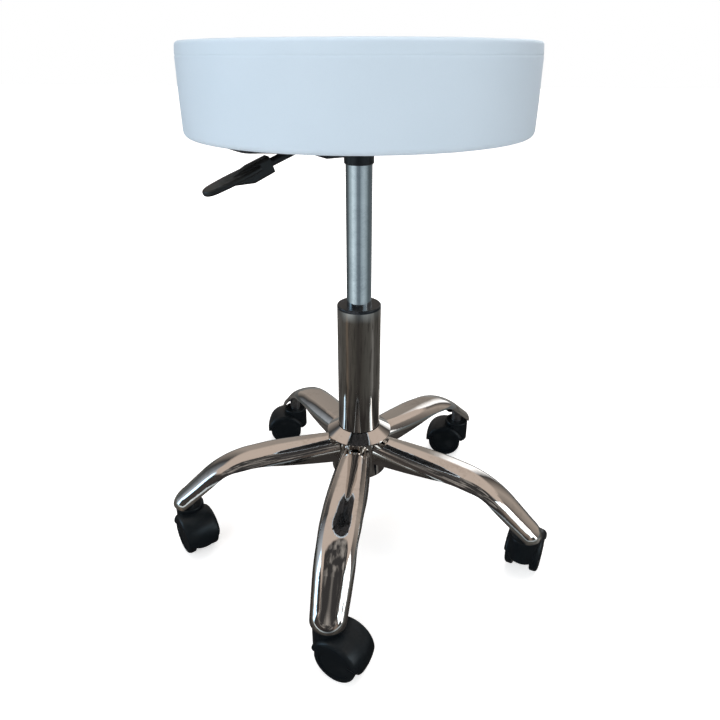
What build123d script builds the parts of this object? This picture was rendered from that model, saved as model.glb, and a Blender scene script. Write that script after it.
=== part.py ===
from build123d import *
import math
import os

# Rolling stylist stool. Millimetres, +Z up, origin on the floor under the column's axis.
# Leg 1 points along -Y and the other legs follow every 72 degrees, counter-clockwise from above.

# ---- five-star base
LEG_COUNT = 5
LEG_STEP = 360 / LEG_COUNT
FIRST_LEG = -90
LEG_WALL = 2.0
LEG_ROOT_R = 27.0
LEG_TOP = [(26, 136.8), (110, 129.8), (172, 119.6), (262, 38.8)]
LEG_TOP_BENDS = [300, 120]
LEG_BOTTOM = [(20, 107.5), (125, 116.5), (166, 107.5), (222, 58.5), (245, 58.5)]
LEG_BOTTOM_BENDS = [120, 45, 3]
LEG_DEPTH = 30.0
LEG_CROWN = 8.0
LEG_SHOULDER = 16.0
LEG_MAX_HALF_WIDTH = 24.0
LEG_WIDEST_R = 130.0
TIP_CENTRE_R = 216.5
TIP_RADIUS = 19.5
TIP_BOTTOM_Z = 58.5

HUB_BOTTOM_Z = 90.0
HUB_TOP_Z = 140.3
HUB_BOTTOM_R = 34.0
HUB_TOP_R = 28.2
COLLAR_TOP_Z = 151.3
COLLAR_HOLE_R = 25.6
COLLAR_EDGE_R = 39.2
COLLAR_EDGE_Z = 142.3

# ---- column
COLUMN_R = 25.0
COLUMN_FOOT_R = 24.3
COLUMN_BORE_R = 23.0
COLUMN_BOTTOM_Z = 92.0
COLUMN_TOP_Z = 306.0
COLUMN_PLATE = 3.0
TAPER_TOP_Z = 150.0
BUSH_TOP_Z = 309.5
BUSH_LENGTH = 60.0

# ---- gas spring
STROKE = 130.0
CYLINDER_R = 14.0
CYLINDER_BORE_R = 12.5
CYLINDER_BOTTOM_Z = 252.0
CYLINDER_TOP_Z = 476.0
CYLINDER_NOSE_R = 13.3
ROD_R = 5.0
ROD_FOOT_R = 4.0
ROD_BOTTOM_Z = 86.0
ROD_SHOULDER_Z = 102.0
PISTON_BOTTOM_Z = 264.0
PISTON_TOP_Z = 276.0
BUFFER_TOP_Z = 118.0
RUNNING_FIT = 0.05

# ---- seat
SEAT_R = 170.0
SEAT_TOP_Z = 573.5
SEAT_BOTTOM_Z = 495.7
SEAT_TOP_EDGE = 7.0
SEAT_BOTTOM_EDGE = 6.0
COVER_SKIN = 1.2
HEM_INNER_R = 138.0
BOARD_R = 164.0
BOARD_THICKNESS = 12.0
DUST_R = 158.0
DUST_SKIN = 0.8

# ---- seat plate, lever and valve
PLATE_SIDE = 150.0
PLATE_THICKNESS = 2.5
PLATE_TOP_Z = 496.1
BOLT_SPACING = 110.0
SOCKET_BOTTOM_Z = 463.0
SOCKET_R = 15.5
HOUSING_SIDE_Y = 22.0
HOUSING_WALL = 2.0
HOUSING_X = (-30.0, 48.0)
HOUSING_BOTTOM_Z = 474.0
LEVER_ANGLE = 218.0
LEVER_AXIS_Z = 484.5
LEVER_ROD_R = 4.0
LEVER_INNER_X = -8.0
LEVER_BEND_X = 62.0
LEVER_SLOPE = 20.4
LEVER_PIVOT_X = 30.0
PIVOT_R = 3.0
PADDLE_START = 38.0
PADDLE_LENGTH = 70.0
PIN_TOP_Z = 480.4

# ---- casters
STEM_RADIUS_FROM_AXIS = 216.5
CASTER_YAW = [-22.0, 71.0, 176.0, 192.0, -46.0]
WHEEL_R = 23.5
WHEEL_INNER_Y = 10.2
WHEEL_OUTER_Y = 19.4
WHEEL_EDGE = 3.6
AXLE_OFFSET = 15.8
AXLE_R = 3.0
HOOD_HALF_WIDTH = 21.0
HOOD_MID_R = 28.6
HOOD_SIDE_R = 26.4
HOOD_EDGE = 5.0
HOOD_BORE_R = 24.6
HOOD_BORE_EDGE = 3.4
HOOD_SIDE_BOTTOM_Z = 32.0
HOOD_LIP_Z = 17.0
HOOD_WINDOW_R = 18.5
WEB_HALF_WIDTH = 9.2
BOSS_R = 17.0
BOSS_BOTTOM_Z = 25.0
BOSS_TOP_Z = 56.8
SLEEVE_R = 7.6
SLEEVE_BORE_R = 5.5
SLEEVE_TOP_Z = 84.0
STEM_R = 5.45
STEM_TOP_Z = 68.5
RING_BOTTOM_Z = 62.5
RING_TOP_Z = 65.5

parts = {}
UP = (Align.CENTER, Align.CENTER, Align.MIN)


def rod_between(radius, z0, z1, x=0.0, y=0.0):
    """Upright cylinder of the given radius from height z0 to z1."""
    return Pos(x, y, z0) * Cylinder(radius, z1 - z0, align=UP)


def tube(outer, inner, z0, z1, x=0.0, y=0.0):
    """Upright ring with the given outer and inner radii."""
    return rod_between(outer, z0, z1, x, y) - rod_between(inner, z0 - 1, z1 + 1, x, y)


def turned(points):
    """Solid turned about Z from (radius, height) points."""
    return revolve(Plane.XZ * make_face(Polyline(*points, close=True)), Axis.Z)


def across(radius, y0, y1, x, z):
    """Cylinder lying along Y from y0 to y1, centred on x and z."""
    length = y1 - y0
    return Pos(x, y0 + length / 2, z) * Rot(90, 0, 0) * Cylinder(radius, length)


def block(x0, x1, y0, y1, z0, z1):
    """Box between two corners."""
    middle = Pos((x0 + x1) / 2, (y0 + y1) / 2, (z0 + z1) / 2)
    return middle * Box(x1 - x0, y1 - y0, z1 - z0)


def leg_angle(number):
    """Direction of a leg in degrees, numbered from 1."""
    return FIRST_LEG + LEG_STEP * (number - 1)


# ---------------------------------------------------------------- base
def teardrop(root_x, widest_x, half_width, tip_x, tip_radius, inset=0.0):
    """Outline along +X: two gently swelling sides that run smoothly into a round tip."""
    rise = half_width - tip_radius
    run = tip_x - widest_x
    side_r = (run**2 - rise**2) / (2 * rise) + half_width
    centre_y = side_r - half_width
    reach = math.hypot(run, centre_y)
    tip_r = tip_radius - inset
    touch_x = tip_x + tip_r * run / reach
    touch_y = tip_r * centre_y / reach
    middle_y = half_width - inset
    root_y = math.sqrt((side_r - inset) ** 2 - (root_x - widest_x) ** 2) - centre_y
    upper = ThreePointArc((root_x, root_y), (widest_x, middle_y), (touch_x, touch_y))
    tip = ThreePointArc((touch_x, touch_y), (tip_x + tip_r, 0), (touch_x, -touch_y))
    lower = ThreePointArc((touch_x, -touch_y), (widest_x, -middle_y), (root_x, -root_y))
    root = Line((root_x, -root_y), (root_x, root_y))
    return make_face([upper.edge(), tip.edge(), lower.edge(), root.edge()])


def leg_form(inset, shoulder):
    """Leg along +X as a full body: a crowned back swept down the knee, trimmed to the plan."""
    spine = Plane.XZ * FilletPolyline(*LEG_TOP, radius=LEG_TOP_BENDS)
    start = Plane(origin=spine @ 0, x_dir=(0, 1, 0), z_dir=spine % 0)
    half = LEG_MAX_HALF_WIDTH + 4
    section = make_face(
        [
            ThreePointArc((-half, -inset - LEG_CROWN), (0, -inset), (half, -inset - LEG_CROWN)).edge(),
            Line((half, -inset - LEG_CROWN), (half, -LEG_DEPTH)).edge(),
            Line((half, -LEG_DEPTH), (-half, -LEG_DEPTH)).edge(),
            Line((-half, -LEG_DEPTH), (-half, -inset - LEG_CROWN)).edge(),
        ]
    )
    if start.y_dir.Z < 0:
        section = mirror(section, Plane.XZ)
    body = sweep(start * section, spine)
    plan = teardrop(LEG_ROOT_R, LEG_WIDEST_R, LEG_MAX_HALF_WIDTH, TIP_CENTRE_R, TIP_RADIUS, inset)
    body = body & extrude(plan, 200)
    edges = body.edges().filter_by(lambda e: shoulder_edge(e, inset))
    return fillet(edges, shoulder)


def shoulder_edge(edge, inset):
    """True for an edge where the back of a leg meets its side walls."""
    middle = edge @ 0.5
    if middle.X < LEG_ROOT_R + 1:
        return False
    if abs((edge % 0.5).Z) > 0.9:
        return False
    return middle.Z > back_height(middle.X) - inset - LEG_CROWN - 4


def back_height(x):
    """Height of a leg's back above a point x along it, ignoring the bends' rounding."""
    for (x0, z0), (x1, z1) in zip(LEG_TOP, LEG_TOP[1:]):
        if x <= x1:
            return z0 + (z1 - z0) * (x - x0) / (x1 - x0)
    return LEG_TOP[-1][1]


def above_leg_bottom():
    """Region above the lower rim of a leg's skirt, wide enough to trim any leg."""
    rim = Plane.XZ * FilletPolyline(*LEG_BOTTOM, radius=LEG_BOTTOM_BENDS)
    first, last = LEG_BOTTOM[0], LEG_BOTTOM[-1]
    top = Plane.XZ * Polyline(last, (last[0], 200), (first[0], 200), first)
    return extrude(make_face(rim.edges() + top.edges()), 60, both=True)


def hub_cone():
    """Full body of the hub tube, used for the tube and to trim the legs' roots."""
    return turned(
        [(0, HUB_BOTTOM_Z), (HUB_BOTTOM_R, HUB_BOTTOM_Z), (HUB_TOP_R, HUB_TOP_Z), (0, HUB_TOP_Z)]
    )


def column_body():
    """Full outer body of the column tube with its tapered foot."""
    return turned(
        [
            (0, COLUMN_BOTTOM_Z),
            (COLUMN_FOOT_R, COLUMN_BOTTOM_Z),
            (COLUMN_R, TAPER_TOP_Z),
            (COLUMN_R, COLUMN_TOP_Z),
            (0, COLUMN_TOP_Z),
        ]
    )


def below_column():
    """Room for the column inside the hub, open below the column's foot."""
    return column_body() + rod_between(COLUMN_FOOT_R, HUB_BOTTOM_Z - 1, COLUMN_BOTTOM_Z)


def make_base():
    inner = leg_form(LEG_WALL, LEG_SHOULDER - LEG_WALL)
    outer = leg_form(0, LEG_SHOULDER)
    leg = (outer & above_leg_bottom()) - inner - hub_cone()
    sleeve = rod_between(SLEEVE_R, TIP_BOTTOM_Z, SLEEVE_TOP_Z + 30, STEM_RADIUS_FROM_AXIS)
    sleeve = sleeve & inner
    sleeve = sleeve - rod_between(SLEEVE_BORE_R, 0, STEM_TOP_Z + 0.5, STEM_RADIUS_FROM_AXIS)
    ring = tube(SLEEVE_BORE_R, 4.55, RING_BOTTOM_Z, RING_TOP_Z, STEM_RADIUS_FROM_AXIS)
    ring = ring - block(STEM_RADIUS_FROM_AXIS, STEM_RADIUS_FROM_AXIS + 9, -1, 1, 60, 70)
    sleeves = []
    rings = []
    for number in range(1, LEG_COUNT + 1):
        turn = Rot(0, 0, leg_angle(number))
        parts[f"leg_{number}"] = turn * leg
        sleeves.append(turn * sleeve)
        rings.append(turn * ring)
    parts["caster_sleeves"] = Compound(sleeves)
    parts["grip_rings"] = Compound(rings)

    parts["hub_tube"] = hub_cone() - below_column()
    collar = turned(
        [
            (COLLAR_HOLE_R, COLLAR_TOP_Z),
            (COLLAR_EDGE_R, COLLAR_EDGE_Z),
            (COLLAR_EDGE_R, COLLAR_EDGE_Z - 1.4),
            (COLLAR_EDGE_R - 1.2, HUB_TOP_Z),
            (COLLAR_HOLE_R, HUB_TOP_Z),
        ]
    )
    parts["hub_collar"] = collar

    column = column_body() - rod_between(COLUMN_BORE_R, COLUMN_BOTTOM_Z + COLUMN_PLATE, COLUMN_TOP_Z + 1)
    parts["column_tube"] = column - rod_between(ROD_FOOT_R + RUNNING_FIT, 80, 100)
    bush = rod_between(COLUMN_R, COLUMN_TOP_Z, BUSH_TOP_Z)
    bush = fillet(bush.edges().group_by(Axis.Z)[-1], 1.4)
    bush = bush + rod_between(COLUMN_BORE_R, COLUMN_TOP_Z - BUSH_LENGTH, COLUMN_TOP_Z)
    bush = bush - rod_between(CYLINDER_R + RUNNING_FIT, 200, 320)
    parts["column_bush"] = bush
    parts["bearing_lower_race"] = tube(11.5, ROD_FOOT_R + RUNNING_FIT, 95.0, 97.0)


# ---------------------------------------------------------------- gas spring
def make_rod():
    rod = rod_between(ROD_R, ROD_SHOULDER_Z, PISTON_TOP_Z) + rod_between(
        ROD_FOOT_R, ROD_BOTTOM_Z, ROD_SHOULDER_Z
    )
    groove = tube(6, 3.2, 90.6, 91.8)
    rod = chamfer(rod.edges().group_by(Axis.Z)[0], 0.8) - groove
    parts["piston_rod"] = rod
    clip = tube(7.5, 3.2, 90.6, 91.8) - block(0, 9, -2.2, 2.2, 90, 92)
    parts["rod_clip"] = clip
    parts["bearing_upper_race"] = tube(11.5, ROD_FOOT_R, 100.0, ROD_SHOULDER_Z)
    cage = tube(11.2, 5.4, 97.7, 99.3)
    balls = []
    for number in range(10):
        place = Rot(0, 0, 36 * number) * Pos(8.3, 0, 98.5)
        cage = cage - place * Sphere(1.5)
        balls.append(place * Sphere(1.45))
    parts["bearing_cage"] = Compound([cage] + balls)
    buffer = tube(11.0, ROD_R, ROD_SHOULDER_Z, BUFFER_TOP_Z)
    parts["rubber_buffer"] = buffer - tube(13, 9.6, 107, 113)
    seal_z = (PISTON_BOTTOM_Z + PISTON_TOP_Z) / 2
    head = tube(CYLINDER_BORE_R - 0.08, ROD_R, PISTON_BOTTOM_Z, PISTON_TOP_Z)
    seal = tube(CYLINDER_BORE_R - 0.03, 10.5, seal_z - 1.5, seal_z + 1.5)
    head = head - tube(14, 10.5, seal_z - 1.5, seal_z + 1.5)
    parts["piston_head"] = Compound([head, seal])


def make_cylinder():
    cylinder = turned(
        [
            (CYLINDER_BORE_R, CYLINDER_BOTTOM_Z),
            (CYLINDER_R, CYLINDER_BOTTOM_Z),
            (CYLINDER_R, SOCKET_BOTTOM_Z),
            (CYLINDER_NOSE_R, CYLINDER_TOP_Z),
            (CYLINDER_BORE_R, CYLINDER_TOP_Z),
        ]
    )
    parts["cylinder_tube"] = cylinder
    gland_top = CYLINDER_BOTTOM_Z + 10
    parts["cylinder_gland"] = tube(CYLINDER_BORE_R, ROD_R + RUNNING_FIT, CYLINDER_BOTTOM_Z, gland_top)
    valve = rod_between(CYLINDER_BORE_R, 452, CYLINDER_TOP_Z)
    valve = valve - rod_between(2 + RUNNING_FIT, 450, 480) - rod_between(4, 454.5, 466)
    parts["valve_body"] = valve


def make_release_pin():
    pin = rod_between(2.0, 460, PIN_TOP_Z) + rod_between(3.6, 460, 463)
    parts["release_pin"] = fillet(pin.edges().group_by(Axis.Z)[-1], 1.9)


# ---------------------------------------------------------------- seat
def cushion_form(radius, z0, z1, top_edge, bottom_edge):
    """Round cushion body with rounded top and bottom edges."""
    body = rod_between(radius, z0, z1)
    body = fillet(body.edges().group_by(Axis.Z)[-1], top_edge)
    return fillet(body.edges().group_by(Axis.Z)[0], bottom_edge)


def bolt_places():
    """The four bolt positions in the seat plate's frame."""
    half = BOLT_SPACING / 2
    return [(half, half), (-half, half), (-half, -half), (half, -half)]


def make_seat():
    inner_z = SEAT_BOTTOM_Z + COVER_SKIN
    board_top = inner_z + BOARD_THICKNESS
    outer = cushion_form(SEAT_R, SEAT_BOTTOM_Z, SEAT_TOP_Z, SEAT_TOP_EDGE, SEAT_BOTTOM_EDGE)
    inner = cushion_form(
        SEAT_R - COVER_SKIN,
        inner_z,
        SEAT_TOP_Z - COVER_SKIN,
        SEAT_TOP_EDGE - COVER_SKIN,
        SEAT_BOTTOM_EDGE - COVER_SKIN,
    )
    parts["seat_cover"] = outer - inner - rod_between(HEM_INNER_R, 480, inner_z + 1)
    parts["seat_foam"] = inner - rod_between(BOARD_R, 480, board_top) - rod_between(200, 480, inner_z + 5)
    turn = Rot(0, 0, LEVER_ANGLE)
    board = rod_between(BOARD_R, inner_z, board_top)
    dust = rod_between(HEM_INNER_R - 1, inner_z - DUST_SKIN, inner_z)
    dust = dust + tube(DUST_R, HEM_INNER_R - 2, SEAT_BOTTOM_Z - DUST_SKIN, SEAT_BOTTOM_Z)
    dust = dust + tube(HEM_INNER_R - 1, HEM_INNER_R - 2, SEAT_BOTTOM_Z - DUST_SKIN, inner_z)
    bolts, washers, nuts = [], [], []
    washer_z = PLATE_TOP_Z - PLATE_THICKNESS - 1.2
    head_z = washer_z - 4.0
    for x, y in bolt_places():
        head = turn * Pos(x, y, head_z) * extrude(RegularPolygon(5.77, 6), 4.0)
        bolts.append(head + turn * rod_between(2.95, washer_z - 0.5, 506.5, x, y))
        washers.append(turn * tube(6.5, 3.2, washer_z, washer_z + 1.2, x, y))
        nut = rod_between(4, inner_z + 0.6, board_top - 1.2, x, y) + rod_between(
            9, board_top - 1.2, board_top, x, y
        )
        nuts.append(turn * (nut - rod_between(3.0, 490, 512, x, y)))
        dust = dust - turn * rod_between(3.3, 490, 500, x, y)
        board = board - turn * rod_between(4, 490, 512, x, y)
        board = board - turn * rod_between(9, board_top - 1.2, 512, x, y)
    parts["plate_bolts"] = Compound(bolts)
    parts["plate_washers"] = Compound(washers)
    parts["t_nuts"] = Compound(nuts)
    parts["seat_board"] = board
    parts["dust_cover"] = dust


def make_plate():
    turn = Rot(0, 0, LEVER_ANGLE)
    plate_bottom = PLATE_TOP_Z - PLATE_THICKNESS
    plate = Pos(0, 0, plate_bottom) * extrude(RectangleRounded(PLATE_SIDE, PLATE_SIDE, 14), PLATE_THICKNESS)
    for x, y in bolt_places():
        plate = plate - rod_between(3.3, 490, 500, x, y)
    parts["mount_plate"] = turn * plate

    x0, x1 = HOUSING_X
    side = HOUSING_SIDE_Y
    housing = block(x0, x1, -side, side, HOUSING_BOTTOM_Z, plate_bottom)
    housing = housing - block(
        x0 + HOUSING_WALL,
        x1 - HOUSING_WALL,
        -side + HOUSING_WALL,
        side - HOUSING_WALL,
        HOUSING_BOTTOM_Z + HOUSING_WALL,
        plate_bottom + 1,
    )
    housing = housing - rod_between(SOCKET_R, 470, 480)
    housing = housing - across(5.0, -30, 30, LEVER_PIVOT_X, LEVER_AXIS_Z)
    housing = housing - block(x1 - 6, x1 + 2, -4.8, 4.8, 479.4, 491.5)
    parts["lever_housing"] = turn * housing
    bush_ring = across(5.0, side - 2.8, side + 0.8, LEVER_PIVOT_X, LEVER_AXIS_Z)
    bush_ring = bush_ring - across(PIVOT_R + RUNNING_FIT, 0, 40, LEVER_PIVOT_X, LEVER_AXIS_Z)
    parts["lever_bushes"] = Compound([turn * bush_ring, turn * mirror(bush_ring, Plane.XZ)])

    socket = turned(
        [
            (CYLINDER_R, SOCKET_BOTTOM_Z),
            (SOCKET_R - 1.0, SOCKET_BOTTOM_Z),
            (SOCKET_R, SOCKET_BOTTOM_Z + 1.0),
            (SOCKET_R, CYLINDER_TOP_Z),
            (CYLINDER_NOSE_R, CYLINDER_TOP_Z),
        ]
    )
    parts["socket_cone"] = socket


def paddle_frame():
    """Frame on the sloping part of the lever rod: X outwards along the rod, Z up and out."""
    slope = math.radians(LEVER_SLOPE)
    x = LEVER_BEND_X + PADDLE_START * math.cos(slope)
    z = LEVER_AXIS_Z - PADDLE_START * math.sin(slope)
    return Pos(x, 0, z) * Rot(0, LEVER_SLOPE, 0)


def make_lever():
    turn = Rot(0, 0, LEVER_ANGLE)
    slope = math.radians(LEVER_SLOPE)
    reach = PADDLE_START + 26.0
    end = (LEVER_BEND_X + reach * math.cos(slope), LEVER_AXIS_Z - reach * math.sin(slope))
    route = FilletPolyline(
        (LEVER_INNER_X, LEVER_AXIS_Z), (LEVER_BEND_X, LEVER_AXIS_Z), end, radius=14
    )
    route = Plane.XZ * route
    rod = sweep(Plane(origin=route @ 0, z_dir=route % 0) * Circle(LEVER_ROD_R), route)
    rod = rod + across(PIVOT_R, -HOUSING_SIDE_Y - 0.6, HOUSING_SIDE_Y + 0.6, LEVER_PIVOT_X, LEVER_AXIS_Z)
    parts["lever_rod"] = turn * rod

    blade_z = 1.5
    blade = teardrop(12, 38, 14.0, PADDLE_LENGTH - 12, 12.0)
    blade = Pos(0, 0, blade_z - 2.5) * extrude(blade, 5.5)
    blade = fillet(blade.edges().filter_by(GeomType.CIRCLE), 2.2)
    grip = loft(
        [
            Plane(origin=(0, 0, -0.5), z_dir=(1, 0, 0)) * RectangleRounded(16, 15, 3),
            Plane(origin=(22, 0, -1.0), z_dir=(1, 0, 0)) * RectangleRounded(17, 14, 3),
            Plane(origin=(44, 0, 0.8), z_dir=(1, 0, 0)) * RectangleRounded(6, 10, 1.5),
        ],
        ruled=True,
    )
    paddle = paddle_frame() * (blade + grip)
    parts["lever_paddle"] = turn * (paddle - rod)


# ---------------------------------------------------------------- casters
def barrel(mid_r, side_r, half_width):
    """Barrel about the wheel axle, fuller in the middle than at its sides."""
    profile = make_face(
        [
            Line((0, -half_width), (side_r, -half_width)).edge(),
            ThreePointArc((side_r, -half_width), (mid_r, 0), (side_r, half_width)).edge(),
            Line((side_r, half_width), (0, half_width)).edge(),
            Line((0, half_width), (0, -half_width)).edge(),
        ]
    )
    drum = revolve(profile, Axis.Y)
    rims = drum.edges().filter_by(GeomType.CIRCLE)
    return Pos(AXLE_OFFSET, 0, WHEEL_R) * fillet(rims, HOOD_EDGE)


def make_hood():
    """Hood over both wheels, with the swivel boss, the web that carries the axle and side cheeks."""
    shell = barrel(HOOD_MID_R, HOOD_SIDE_R, HOOD_HALF_WIDTH)
    shell = shell - block(-40, AXLE_OFFSET, -30, 30, -20, HOOD_SIDE_BOTTOM_Z)
    lip = make_face(
        [
            ThreePointArc(
                (-HOOD_HALF_WIDTH, HOOD_SIDE_BOTTOM_Z), (0, HOOD_LIP_Z), (HOOD_HALF_WIDTH, HOOD_SIDE_BOTTOM_Z)
            ).edge(),
            Line((HOOD_HALF_WIDTH, HOOD_SIDE_BOTTOM_Z), (30, HOOD_SIDE_BOTTOM_Z)).edge(),
            Line((30, HOOD_SIDE_BOTTOM_Z), (30, -20)).edge(),
            Line((30, -20), (-30, -20)).edge(),
            Line((-30, -20), (-30, HOOD_SIDE_BOTTOM_Z)).edge(),
            Line((-30, HOOD_SIDE_BOTTOM_Z), (-HOOD_HALF_WIDTH, HOOD_SIDE_BOTTOM_Z)).edge(),
        ]
    )
    lip_cut = Plane(origin=(AXLE_OFFSET, 0, 0), x_dir=(0, 1, 0), z_dir=(1, 0, 0)) * lip
    shell = shell - extrude(lip_cut, 40)
    boss = rod_between(BOSS_R, BOSS_BOTTOM_Z, BOSS_TOP_Z)
    boss = fillet(boss.edges().group_by(Axis.Z)[-1], 2.5)
    boss = fillet(boss.edges().group_by(Axis.Z)[0], 2.0)
    shell = shell + boss
    for side in (-1, 1):
        inner, outer = side * WEB_HALF_WIDTH, side * (HOOD_HALF_WIDTH - 1.5)
        room = across(HOOD_BORE_R, min(inner, outer), max(inner, outer), AXLE_OFFSET, WHEEL_R)
        rims = room.edges().filter_by(GeomType.CIRCLE)
        room = fillet(rims.sort_by(Axis.Y)[-1 if side > 0 else 0], HOOD_BORE_EDGE)
        window = across(HOOD_WINDOW_R, min(outer, 25 * side), max(outer, 25 * side), AXLE_OFFSET, WHEEL_R)
        shell = shell - room - window
    web_cut = across(HOOD_BORE_R, -WEB_HALF_WIDTH, WEB_HALF_WIDTH, AXLE_OFFSET, WHEEL_R)
    web_keep = across(8.0, -WEB_HALF_WIDTH, WEB_HALF_WIDTH, AXLE_OFFSET, WHEEL_R)
    web_keep = web_keep + block(-20, 22, -WEB_HALF_WIDTH, WEB_HALF_WIDTH, WHEEL_R, 60)
    shell = (shell - web_cut) + (web_keep & (web_cut + boss))
    shell = shell - across(AXLE_R, -15, 15, AXLE_OFFSET, WHEEL_R)
    shell = shell - rod_between(5.0, 32, 60) - rod_between(SLEEVE_R + 0.2, BOSS_TOP_Z - 1.5, 60)
    return shell


def make_wheel():
    """Left wheel of a caster: solid tread ring and disc, hollow behind, with a blind hub bore."""
    inner, outer = WHEEL_INNER_Y, WHEEL_OUTER_Y
    wheel = across(WHEEL_R, inner, outer, 0, 0)
    rims = wheel.edges().filter_by(GeomType.CIRCLE).sort_by(Axis.Y)
    wheel = fillet(rims[-1], WHEEL_EDGE)
    wheel = chamfer(wheel.edges().filter_by(GeomType.CIRCLE).sort_by(Axis.Y)[0], 1.0)
    hollow = across(18.5, inner - 1, outer - 3.6, 0, 0) - across(7.5, inner - 2, outer, 0, 0)
    wheel = wheel - hollow
    dish = across(16.8, outer - 0.7, outer + 1, 0, 0)
    return wheel - dish - across(AXLE_R + RUNNING_FIT, 0, outer - 2.2, 0, 0)


def make_casters():
    hood = make_hood()
    wheel = make_wheel()
    axle_length = 2 * (WHEEL_OUTER_Y - 3.0)
    axle = across(AXLE_R, -axle_length / 2, axle_length / 2, 0, 0)
    axle = Pos(AXLE_OFFSET, 0, WHEEL_R) * chamfer(axle.edges().filter_by(GeomType.CIRCLE), 0.4)
    stem = rod_between(5.0, 32, BOSS_TOP_Z) + rod_between(SLEEVE_R, BOSS_TOP_Z - 1.5, TIP_BOTTOM_Z - 0.3)
    stem = stem + rod_between(STEM_R, TIP_BOTTOM_Z - 0.5, STEM_TOP_Z)
    stem = chamfer(stem.edges().group_by(Axis.Z)[-1], 1.0)
    stem = stem - tube(7, 4.5, RING_BOTTOM_Z - 0.1, RING_TOP_Z + 0.1)
    wheel_place = Pos(AXLE_OFFSET, 0, WHEEL_R)
    for number in range(1, LEG_COUNT + 1):
        stand = Rot(0, 0, leg_angle(number)) * Pos(STEM_RADIUS_FROM_AXIS, 0, 0)
        place = stand * Rot(0, 0, CASTER_YAW[number - 1] - leg_angle(number))
        parts[f"caster_{number}_stem"] = place * stem
        parts[f"caster_{number}_hood"] = place * hood
        parts[f"caster_{number}_axle"] = place * axle
        parts[f"caster_{number}_wheel_left"] = place * wheel_place * wheel
        parts[f"caster_{number}_wheel_right"] = place * wheel_place * mirror(wheel, Plane.XZ)


make_base()
make_rod()
make_cylinder()
make_release_pin()
make_seat()
make_plate()
make_lever()
make_casters()

os.makedirs("parts", exist_ok=True)
for name, shape in parts.items():
    export_step(shape, f"parts/{name}.step")
print(len(parts), "nodes")
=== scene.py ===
import logging
import math
from dataclasses import dataclass
from enum import Enum

import bmesh
import bpy
from mathutils import Matrix, Vector, noise


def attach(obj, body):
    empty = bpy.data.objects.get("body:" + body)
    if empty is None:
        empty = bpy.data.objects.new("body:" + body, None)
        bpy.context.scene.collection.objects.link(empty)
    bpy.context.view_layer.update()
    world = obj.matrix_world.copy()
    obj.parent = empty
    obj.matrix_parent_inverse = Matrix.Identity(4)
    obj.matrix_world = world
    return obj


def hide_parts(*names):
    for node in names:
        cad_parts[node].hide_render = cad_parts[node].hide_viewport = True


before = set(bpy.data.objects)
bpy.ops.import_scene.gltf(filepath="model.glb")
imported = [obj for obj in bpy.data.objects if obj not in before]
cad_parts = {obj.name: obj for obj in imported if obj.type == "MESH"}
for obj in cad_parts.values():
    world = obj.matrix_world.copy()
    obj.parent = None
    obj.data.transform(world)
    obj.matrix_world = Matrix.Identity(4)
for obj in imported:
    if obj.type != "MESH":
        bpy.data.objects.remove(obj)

Socket = bpy.types.NodeSocket
Color = tuple[float, float, float]
Place = tuple[float, float, float]
Spot = tuple[float, float]
Bands = tuple[tuple[float, Color], ...]
log = logging.getLogger("stylist_stool")


# ------------------------------------------------------------------ node helpers
class Effect(Enum):
    """Shared shader effects, each built once as a node group."""

    LEATHER_GRAIN = "leather_grain"
    SMUDGE = "smudge"
    TURNED_LINES = "turned_lines"
    MOULDED_SKIN = "moulded_skin"
    SETTLED_DUST = "settled_dust"
    SPUN_DOTS = "spun_dots"


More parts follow.
